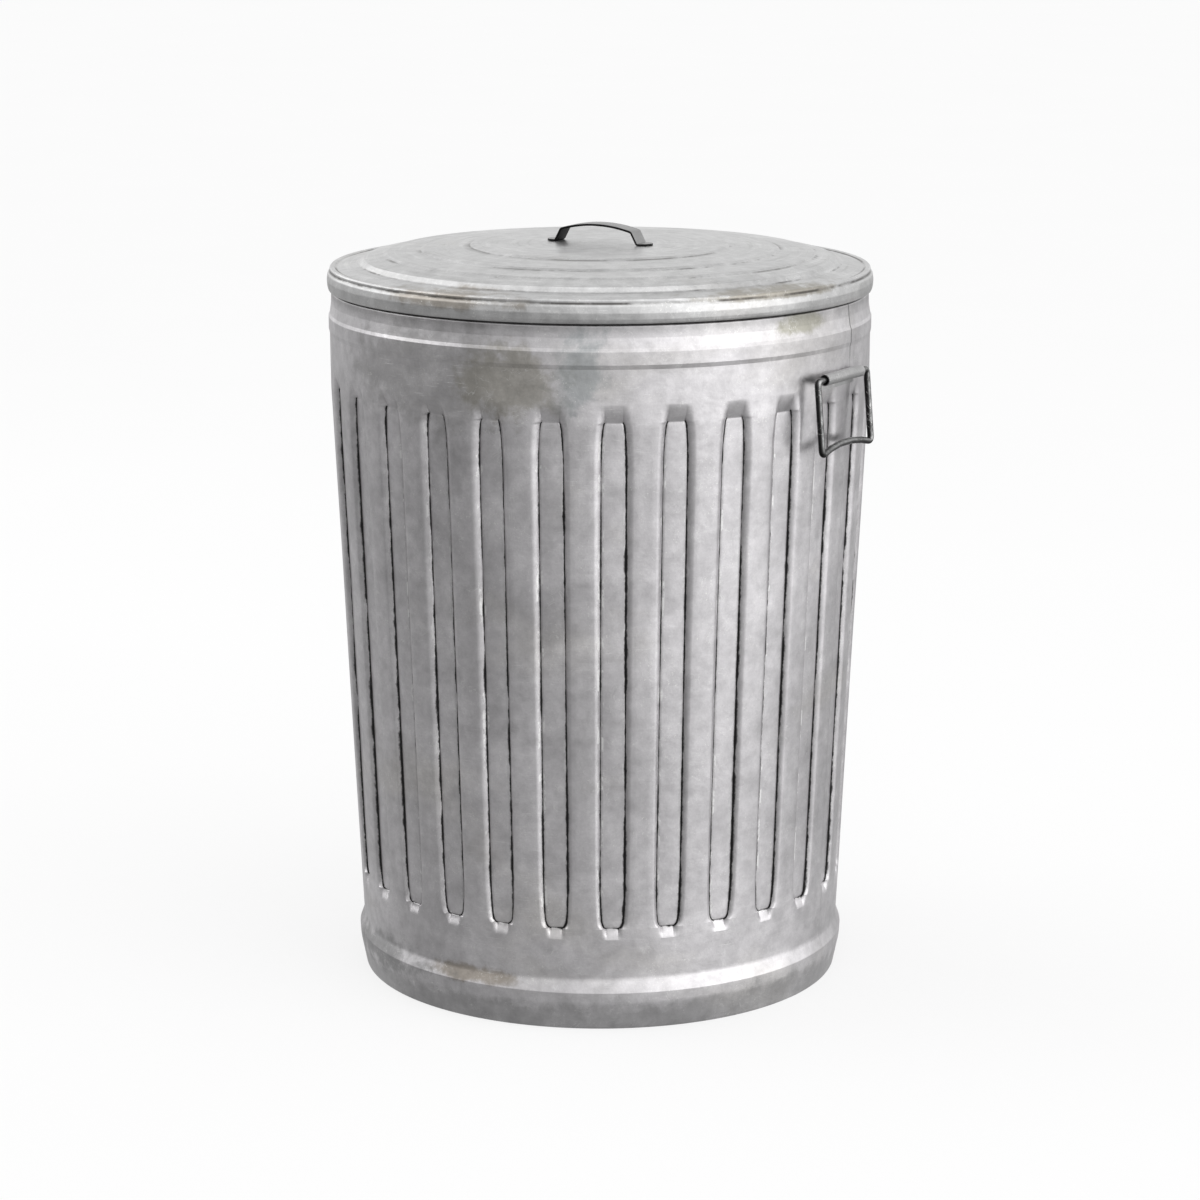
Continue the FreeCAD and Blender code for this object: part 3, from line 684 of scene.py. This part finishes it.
def galvanised(name, tone, rough=(0.26, 0.42), clouds=0.12, tint=1.0, stains_and_shade=(), marks_and_painted_light=None):
    """Weathered zinc-coated sheet: clouded spangle, fine scratches, specks and warm patches."""
    graph = Surface(name)
    grey = (tone, tone * tint, tone, 1)
    broad = graph.noise(6, 4, 0.6, distortion=0.5)
    patches = graph.noise(26, 5, 0.62, distortion=0.3)
    mottle = graph.noise(85, 4, 0.6)
    spangle = graph.cells(110)
    fine = graph.noise(480, 3, 0.6)
    brushed = graph.noise(15, 6, 0.7, graph.stretched((1, 1, 7), (0.5, 0.3, 0.2)))
    value = graph.product(
        graph.remap(broad, 0.3, 0.7, 1 - clouds, 1 + clouds),
        graph.remap(patches, 0.3, 0.7, 0.89, 1.11),
        graph.remap(mottle, 0.3, 0.7, 0.90, 1.10),
        graph.remap(spangle, 0, 1, 0.975, 1.025),
        graph.remap(brushed, 0.35, 0.65, 0.97, 1.03),
        graph.remap(fine, 0.3, 0.7, 0.96, 1.04),
    )
    colour = graph.tinted(value, grey)
    warm = graph.noise(5.5, 3, 0.5, graph.stretched((1, 1, 1.6)))
    warm = graph.remap(warm, 0.56, 0.72, 0, 0.45, True)
    colour = graph.mix(warm, colour, graph.tinted(value, (tone * 0.93, tone * 0.9, tone * 0.86, 1)))
    ragged = graph.math("ADD", patches, graph.product(mottle, 0.6))
    ragged = graph.product(graph.math("SUBTRACT", ragged, 0.8), 2.2)
    roughness = graph.math("ADD", graph.product(patches, 0.6), graph.product(broad, 0.4))
    roughness = graph.remap(roughness, 0.3, 0.7, *rough)
    # Stains, and patches of painted shade, from the table passed in.
    for turn, height, half_turn, half_height, patch_tint, strength in stains_and_shade:
        middle = FACING + math.radians(turn)
        spot = graph.patch_mask(middle, height, math.radians(half_turn), half_height, ragged)
        spot = graph.product(spot, strength)
        colour = graph.mix(spot, colour, graph.tinted(value, (*patch_tint, 1)))
        roughness = graph.math("ADD", roughness, graph.product(spot, 0.06))
    specks = graph.product(
        graph.remap(graph.noise(620, 2, 0.5), 0.63, 0.69, 0, 1, True),
        graph.remap(patches, 0.48, 0.62, 0, 1, True),
    )
    colour = graph.mix(graph.product(specks, 0.6), colour, (0.9, 0.9, 0.87, 1))
    streaks = graph.noise(60, 2, 0.5, graph.stretched((1, 1, 22), (1.1, 0.4, 0.3)))
    scratch = graph.product(
        graph.remap(streaks, 0.66, 0.7, 0, 1, True),
        graph.remap(broad, 0.48, 0.58, 0, 1, True),
    )
    colour = graph.mix(graph.product(scratch, 0.3), colour, (0.85, 0.85, 0.85, 1))
    curl = graph.math("SUBTRACT", graph.noise(75, 2, 0.55, distortion=0.8), 0.5)
    curl = graph.math("ABSOLUTE", curl)
    curl = graph.product(graph.remap(curl, 0.002, 0.011, 1, 0, True),
                         graph.remap(graph.noise(34, 3, 0.6), 0.48, 0.6, 0, 1, True))
    colour = graph.mix(graph.product(curl, 0.5), colour, (0.8, 0.8, 0.79, 1))
    # Each piece's own grime and wear, with its painted shade and painted highlights.
    if marks_and_painted_light:
        colour, roughness = marks_and_painted_light(graph, value, colour, roughness)
    graph.link(colour, graph.shader.inputs["Base Color"])
    graph.link(roughness, graph.shader.inputs["Roughness"])
    graph.shader.inputs["Metallic"].default_value = 0.9
    relief = graph.math("ADD", graph.product(patches, 1.0), graph.product(mottle, 0.35))
    relief = graph.math("ADD", relief, graph.product(fine, 0.06))
    relief = graph.math("SUBTRACT", relief, graph.product(scratch, 0.1))
    graph.bump(relief, 0.0006, 0.8)
    return graph.material


def body_marks_and_painted_light(graph, value, colour, roughness):
    """Ragged dark lines along the flutes' creases, partly grime and partly painted shade; bright
    flecks beside them, partly wear and partly painted highlight; a painted shadow beneath the
    lid; and the dark seam.

    Of a flute's two creases, the one on the right is painted the blacker, as painted shade,
    except at the far left.
    """
    gap = graph.attribute("crease_gap")
    across, along, up = graph.separate(graph.coordinates)
    # Painted shade: of a flute's two creases, the one that the key lamp leaves in shade gets the
    # wider, blacker line; which one that is flips with the angle from the camera's side.
    turn = graph.angle_from(across, along, FACING)
    facing_out = graph.remap(turn, math.radians(-48), math.radians(-28), -1, 1)
    right = graph.product(graph.attribute("crease_side"), facing_out)
    right = graph.remap(right, -0.4, 0.4, 0, 1)
    jag = graph.noise(42, 5, 0.75, graph.stretched((1, 1, 0.5)))
    fade = graph.noise(7, 2, 0.5, graph.stretched((1, 1, 0.8)))
    crumbs = graph.noise(150, 3, 0.6, graph.stretched((1, 1, 0.6)))
    width = graph.product(graph.remap(jag, 0.32, 0.68, 0.05, 1.7),
                          graph.remap(right, 0, 1, 0.75, 1.2),
                          graph.remap(fade, 0.35, 0.6, 0.5, 1.2),
                          graph.remap(crumbs, 0.3, 0.7, 0.6, 1.4))
    line = graph.remap(graph.math("DIVIDE", gap, width), 0.45, 1.4, 1, 0, True)
    # Grime and painted shade: darker near each crease, most beside the crease in shade.
    grime_and_shade = graph.product(graph.remap(gap, 0, 4, 0.28, 0, True),
                         graph.remap(right, 0, 1, 0.6, 1.2))
    colour = graph.mix(grime_and_shade, colour, (0.12, 0.12, 0.118, 1))
    # Bright flecks beside the creases: partly edge wear, partly painted highlight, strongest by the
    # crease that the key lamp lights.
    glint_and_wear = graph.product(
        graph.bell(graph.math("SUBTRACT", gap, 1.9), 0.7),
        graph.remap(graph.noise(95, 4, 0.7, graph.stretched((1, 1, 0.4))), 0.53, 0.6, 0, 1, True),
        graph.remap(right, 0, 1, 1, 0.3),
    )
    colour = graph.mix(graph.product(glint_and_wear, 0.8), colour, (0.95, 0.95, 0.94, 1))
    # The crease line, near black: grime and painted shade.
    colour = graph.mix(graph.product(line, 0.93), colour, (0.01, 0.01, 0.01, 1))
    # Painted shadow: a dark band just beneath the lid's rim.
    painted_lid_shadow = graph.remap(up, 0.655, 0.665, 0, 0.45, True)
    painted_lid_shadow = graph.product(painted_lid_shadow, graph.remap(jag, 0.35, 0.55, 0.6, 1))
    colour = graph.mix(painted_lid_shadow, colour, (0.1, 0.098, 0.095, 1))
    seam_gap = graph.math("ABSOLUTE", graph.attribute("seam_gap"))
    seam_height = graph.remap(up, 0.605, 0.63, 0.1, 1)
    seam = graph.product(graph.remap(seam_gap, 0.35, 1.0, 0.9, 0, True), seam_height)
    colour = graph.mix(seam, colour, (0.03, 0.03, 0.03, 1))
    return colour, graph.math("MAXIMUM", roughness, graph.product(line, 0.9))


def lid_streaks_grime_and_shade(graph, value, colour, roughness):
    """Faint rings of polishing streaks, and broken dark lines in the folds and the rim's groove,
    partly grime and partly painted shade.
    """
    across, along, _ = graph.separate(graph.coordinates)
    radius = graph.math("ADD", graph.product(across, across), graph.product(along, along))
    radius = graph.math("SQRT", radius)
    ring = graph.add("ShaderNodeCombineXYZ")
    graph.link(graph.product(graph.math("DIVIDE", across, radius), 1.6), ring.inputs["X"])
    graph.link(graph.product(graph.math("DIVIDE", along, radius), 1.6), ring.inputs["Y"])
    graph.link(graph.product(radius, 170), ring.inputs["Z"])
    streak = graph.noise(1.0, 5, 0.65, ring.outputs["Vector"])
    for low, high, share, tint in ((0.54, 0.68, 0.35, (0.33, 0.33, 0.32, 1)),
                                   (0.46, 0.36, 0.3, (0.8, 0.8, 0.8, 1))):
        amount = graph.remap(streak, low, high, 0, share, True)
        colour = graph.mix(amount, colour, graph.tinted(value, tint))
    broken = graph.noise(14, 5, 0.7)
    # Grime and painted shade: broken dark lines in the steps' folds and the rim's groove.
    fold = graph.product(graph.remap(graph.attribute("fold_gap"), 0.3, 1.6, 1, 0, True),
                         graph.remap(broken, 0.49, 0.6, 0, 0.7, True))
    groove = graph.product(graph.remap(graph.attribute("groove_gap"), 0.4, 1.8, 1, 0, True),
                           graph.remap(broken, 0.42, 0.58, 0.1, 0.85, True))
    colour = graph.mix(graph.math("MAXIMUM", fold, groove), colour, (0.06, 0.055, 0.05, 1))
    return colour, roughness


def strap_painted_shade(graph, value, colour, roughness):
    """Painted shade: the lid handle's underside and edges, and the inside of the brackets' tubes,
    are coloured near black.
    """
    dark = graph.attribute("painted_shade")
    colour = graph.mix(dark, colour, graph.tinted(value, (0.012, 0.012, 0.012, 1)))
    return colour, graph.math("MAXIMUM", roughness, graph.product(dark, 0.5))


def wire_glint_and_wear(graph, value, colour, roughness):
    """Blackened wire, with a bright stripe along one side: a painted highlight, partly wear from
    hands.
    """
    ragged = graph.noise(160, 3, 0.6)
    glint_and_wear = graph.product(graph.attribute("glint_and_wear"), graph.remap(ragged, 0.35, 0.6, 0.45, 1))
    return graph.mix(glint_and_wear, colour, graph.tinted(value, (0.5, 0.5, 0.5, 1))), roughness


def dress(piece, material):
    """Give a piece one material."""
    piece.data.materials.clear()
    piece.data.materials.append(material)


# ---------------------------------------------------------------- studio
def build_floor():
    """A plain pale floor that only the camera sees, so the sheet mirrors the soft surroundings."""
    bpy.ops.mesh.primitive_plane_add(size=400)
    floor = bpy.context.object
    floor.name = "studio_floor"
    graph = Surface("pale_floor")
    value = graph.remap(graph.noise(2, 2), 0, 1, 0.25, 0.26)
    graph.link(graph.tinted(value, (1, 1, 1, 1)), graph.shader.inputs["Base Color"])
    graph.shader.inputs["Roughness"].default_value = 0.95
    graph.shader.inputs["Specular IOR Level"].default_value = 0.0
    graph.shader.inputs["Emission Color"].default_value = (1, 1, 1, 1)
    graph.shader.inputs["Emission Strength"].default_value = FLOOR_GLOW
    dress(floor, graph.material)
    for ray in ("diffuse", "glossy", "transmission", "shadow"):
        setattr(floor, "visible_" + ray, False)


def build_world():
    """Soft surroundings: brightest to the right of the camera, dimmest to its left.

    The glow is one share for the direction round the can times one for the rise above the
    horizon, both in degrees. Low down it is nearly the same all round.
    """
    world = bpy.data.worlds.new("studio")
    bpy.context.scene.world = world
    world.use_nodes = True
    graph = Graph(world.node_tree)
    across, along, up = graph.separate(graph.add("ShaderNodeTexCoord").outputs["Generated"])
    rise = graph.product(graph.math("ARCSINE", up), 180 / math.pi)

    def lobe(turn, width):
        away = graph.angle_from(across, along, FACING + math.radians(turn))
        return graph.bell(away, math.radians(width))

    bright = graph.product(lobe(58, 27), graph.remap(rise, 3, 18, 1, 0.35, True))
    side = graph.math("ADD", 0.62, bright)
    shade = graph.product(lobe(-68, 36), graph.remap(rise, 0, 25, 0.37, 0.12, True))
    shade = graph.math("ADD", shade, graph.product(lobe(180, 50), 0.05))
    side = graph.math("SUBTRACT", side, shade)
    high_left = graph.product(lobe(-100, 20), graph.remap(rise, 6, 20, 0, 0.8, True))
    side = graph.math("ADD", side, high_left)
    level = graph.remap(rise, -34, -8, 0.15, 1, True)
    low_side = graph.product(graph.math("SUBTRACT", 1, level), 0.75)
    side = graph.math("ADD", graph.product(side, level), low_side)

    height = graph.product(graph.remap(rise, -42, -15, 0.5, 1, True),
                           graph.remap(rise, -10, 4, 1, 1.9, True),
                           graph.remap(rise, 35, 80, 1, 0.6, True))
    glow = graph.product(side, height, WORLD_GLOW)
    seen = graph.add("ShaderNodeLightPath").outputs["Is Camera Ray"]
    unseen = graph.math("SUBTRACT", 1, seen)
    glow = graph.math("ADD", graph.product(glow, unseen), graph.product(seen, BACKDROP_GLOW))
    background = world.node_tree.nodes["Background"]
    background.inputs["Color"].default_value = (1, 1, 1, 1)
    graph.link(glow, background.inputs["Strength"])


def soft_box(name, turn, rise, distance, width, height, power):
    """A rectangular lamp aimed at the can, turned from the camera's side by an angle."""
    light = bpy.data.lights.new(name, "AREA")
    light.shape = "RECTANGLE"
    light.size, light.size_y, light.energy = width, height, power
    lamp = bpy.data.objects.new(name, light)
    bpy.context.scene.collection.objects.link(lamp)
    angle, rise = FACING + math.radians(turn), math.radians(rise)
    target = Vector((0, 0, AIM_HEIGHT))
    level = math.cos(rise)
    away = Vector((level * math.cos(angle), level * math.sin(angle), math.sin(rise)))
    lamp.location = target + distance * away
    lamp.rotation_euler = (target - lamp.location).to_track_quat("-Z", "Y").to_euler()


def build_camera():
    """The studio camera, a little above the lid and looking slightly down."""
    camera = bpy.data.cameras.new("camera")
    camera.lens = VIEW_LENS
    camera.sensor_width = 36
    holder = bpy.data.objects.new("camera", camera)
    bpy.context.scene.collection.objects.link(holder)
    turn = math.radians(VIEW_AZIMUTH)
    holder.location = (VIEW_DISTANCE * math.sin(turn), -VIEW_DISTANCE * math.cos(turn), VIEW_HEIGHT)
    holder.rotation_euler = (math.radians(90 - VIEW_PITCH), 0, turn)
    bpy.context.scene.camera = holder


# ---------------------------------------------------------------- assembly
def place(piece, look, body, node, slot):
    """Dress a piece, let it ride on a body, and let it stand for a CAD node."""
    dress(piece, look)
    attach(piece, body)
    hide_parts(node)


body_look = galvanised("galvanised_body", 0.64, tint=0.978, stains_and_shade=BODY_STAINS_AND_SHADE, marks_and_painted_light=body_marks_and_painted_light)
lid_look = galvanised("galvanised_lid", 0.57, clouds=0.05, stains_and_shade=LID_STAINS, marks_and_painted_light=lid_streaks_grime_and_shade)
pan_look = galvanised("galvanised_pan", 0.50)
strap_look = galvanised("galvanised_strap", 0.50, rough=(0.3, 0.42), marks_and_painted_light=strap_painted_shade)
wire_look = galvanised("galvanised_wire", 0.022, rough=(0.2, 0.3), marks_and_painted_light=wire_glint_and_wear)

place(build_body(), body_look, "can", "body_shell", "galvanised_sheet")
place(build_lid(), lid_look, "lid", "lid_panel", "galvanised_sheet")
place(build_strap(), strap_look, "lid", "lid_handle", "galvanised_strap")
for end, turn in (("right", 1), ("left", -1)):
    place(build_bracket("bracket_strip_" + end, turn), strap_look, "can",
          "handle_bracket_" + end, "galvanised_strap")
    place(build_wire("bent_wire_" + end, turn), wire_look, "drop_handle_" + end,
          "handle_wire_" + end, "galvanised_wire")
dress(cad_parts["bottom_pan"], pan_look)
dress(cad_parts["body_rim_wire"], wire_look)

build_floor()
build_world()
soft_box("key", 50, 38, 3.2, 3.0, 3.0, 9)
soft_box("top", 20, 78, 3.0, 2.4, 2.4, 10)
soft_box("rim", -140, 30, 3.2, 1.0, 1.4, 4)
build_camera()
bpy.context.scene.view_settings.view_transform = "Standard"
